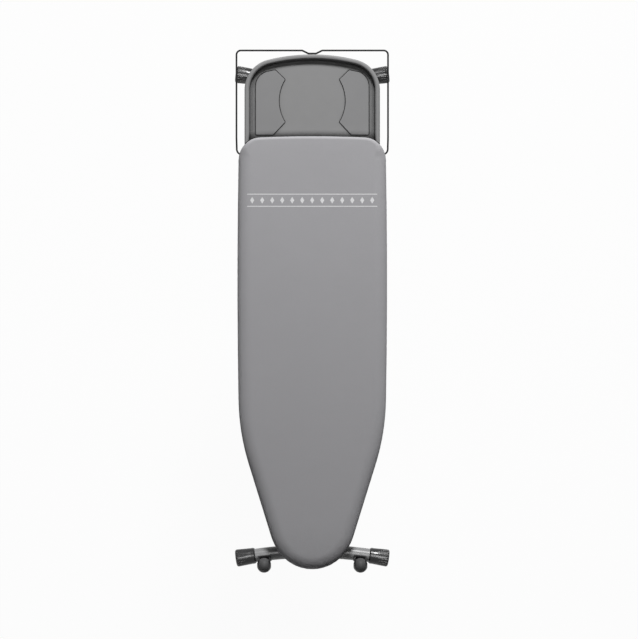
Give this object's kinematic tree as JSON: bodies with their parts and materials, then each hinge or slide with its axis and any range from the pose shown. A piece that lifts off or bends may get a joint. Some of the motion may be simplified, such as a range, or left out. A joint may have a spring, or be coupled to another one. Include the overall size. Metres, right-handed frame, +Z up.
{
  "type": "folding ironing board with station tray",
  "caption": "Folding ironing board lying folded: padded cover on a mesh top, crossed tube legs with arched feet, a stepless height lock, a station tray and a swing-up wire hanger rail.",
  "frame": {"origin": "centre of the floor under the folded board", "axes": "+Y to the tray end along the board, +Z up out of the ironing surface, +X to the right seen from above"},
  "size_m": [0.4392, 1.4736, 0.0999],
  "materials": {
    "cover_cloth": "matt woven cloth",
    "elastic": "matt",
    "felt": "matt felt",
    "mesh_steel": "satin",
    "frame_paint": "satin",
    "leg_paint": "satin",
    "tray_plastic": "fine grained",
    "pad_rubber": "matt",
    "wire_paint": "satin",
    "black_plastic": "fine grained",
    "black_rubber": "satin",
    "nylon": "satin",
    "bare_steel": "brushed"
  },
  "bodies": {
    "board": {"cover": "cover_cloth", "hem_elastic": "elastic", "felt_pad": "felt", "mesh_top": "mesh_steel", "perimeter_frame": "frame_paint", "cross_member_1": "frame_paint", "cross_member_2": "frame_paint", "cross_member_3": "frame_paint", "cross_member_4": "frame_paint", "cross_member_5": "frame_paint", "slide_rail_left": "frame_paint", "slide_rail_right": "frame_paint", "pivot_bracket_left": "frame_paint", "pivot_bracket_right": "frame_paint", "pivot_bushes": "nylon", "clamp_housing": "frame_paint", "fulcrum_pin": "bare_steel", "clamp_spring": "bare_steel", "tray_shell": "tray_plastic", "tray_pad_left": "pad_rubber", "tray_pad_right": "pad_rubber", "tray_arm_left": "frame_paint", "tray_arm_right": "frame_paint", "arm_spacers": "frame_paint", "tray_screws": "bare_steel", "rail_block_left": "black_plastic", "rail_block_right": "black_plastic", "fold_bumpers": "black_rubber"},
    "outer_leg": {"outer_leg_shaft": "leg_paint", "outer_leg_tube_left": "leg_paint", "outer_leg_tube_right": "leg_paint", "outer_foot_tube": "leg_paint", "outer_foot_cap_left": "black_plastic", "outer_foot_cap_right": "black_plastic", "cross_pin_left": "bare_steel", "cross_pin_right": "bare_steel", "cross_spacers": "nylon", "roller_fork_left": "leg_paint", "roller_fork_right": "leg_paint", "roller_axles": "bare_steel"},
    "inner_leg": {"inner_leg_tube_left": "leg_paint", "inner_leg_tube_right": "leg_paint", "inner_leg_sleeve_left": "leg_paint", "inner_leg_sleeve_right": "leg_paint", "inner_leg_brace": "leg_paint", "inner_foot_tube": "leg_paint", "inner_foot_cap_left": "black_plastic", "inner_foot_cap_right": "black_plastic"},
    "slider": {"slider_crossbar": "bare_steel", "slider_shoe_left": "nylon", "slider_shoe_right": "nylon", "rod_block": "nylon", "lock_rod": "bare_steel"},
    "lever": {"lock_plate": "bare_steel", "lever_grip": "black_plastic"},
    "hanger_rail": {"hanger_rail": "wire_paint"},
    "roller_left": {"ball_roller_left": "black_rubber"},
    "roller_right": {"ball_roller_right": "black_rubber"}
  },
  "joints": [
    {"name": "leg_fold", "type": "hinge", "parent": "board", "child": "outer_leg", "pos_m": [0, 0.41689, 0.0645], "axis": [1, 0, 0], "range_deg": [0, 48.2]},
    {"name": "leg_cross", "type": "hinge", "parent": "outer_leg", "child": "inner_leg", "pos_m": [0, -0.01283, 0.04905], "axis": [1, 0, 0], "range_deg": [-96.5, 0.1]},
    {"name": "slider_turn", "type": "hinge", "parent": "inner_leg", "child": "slider", "pos_m": [0, -0.44255, 0.0645], "axis": [1, 0, 0], "range_deg": [-0.1, 48.3]},
    {"name": "lock_release", "type": "hinge", "parent": "board", "child": "lever", "pos_m": [-0.016, -0.05311, 0.0645], "axis": [0, 0, 1], "range_deg": [0, 6], "stiffness_Nm_per_rad": 6, "springref_deg": -5.73},
    {"name": "rail_swing", "type": "hinge", "parent": "board", "child": "hanger_rail", "pos_m": [0, 0.44289, 0.0636], "axis": [1, 0, 0], "range_deg": [0, 100]},
    {"name": "roller_left_spin", "type": "hinge", "parent": "outer_leg", "child": "roller_left", "pos_m": [-0.136, -0.71629, 0.05727], "axis": [1, 0, 0], "continuous": true},
    {"name": "roller_right_spin", "type": "hinge", "parent": "outer_leg", "child": "roller_right", "pos_m": [0.136, -0.71629, 0.05727], "axis": [1, 0, 0], "continuous": true}
  ],
  "couplings": [
    {"joint": "leg_cross", "follows": "leg_fold", "ratio": -2},
    {"joint": "slider_turn", "follows": "leg_fold", "ratio": 1}
  ]
}
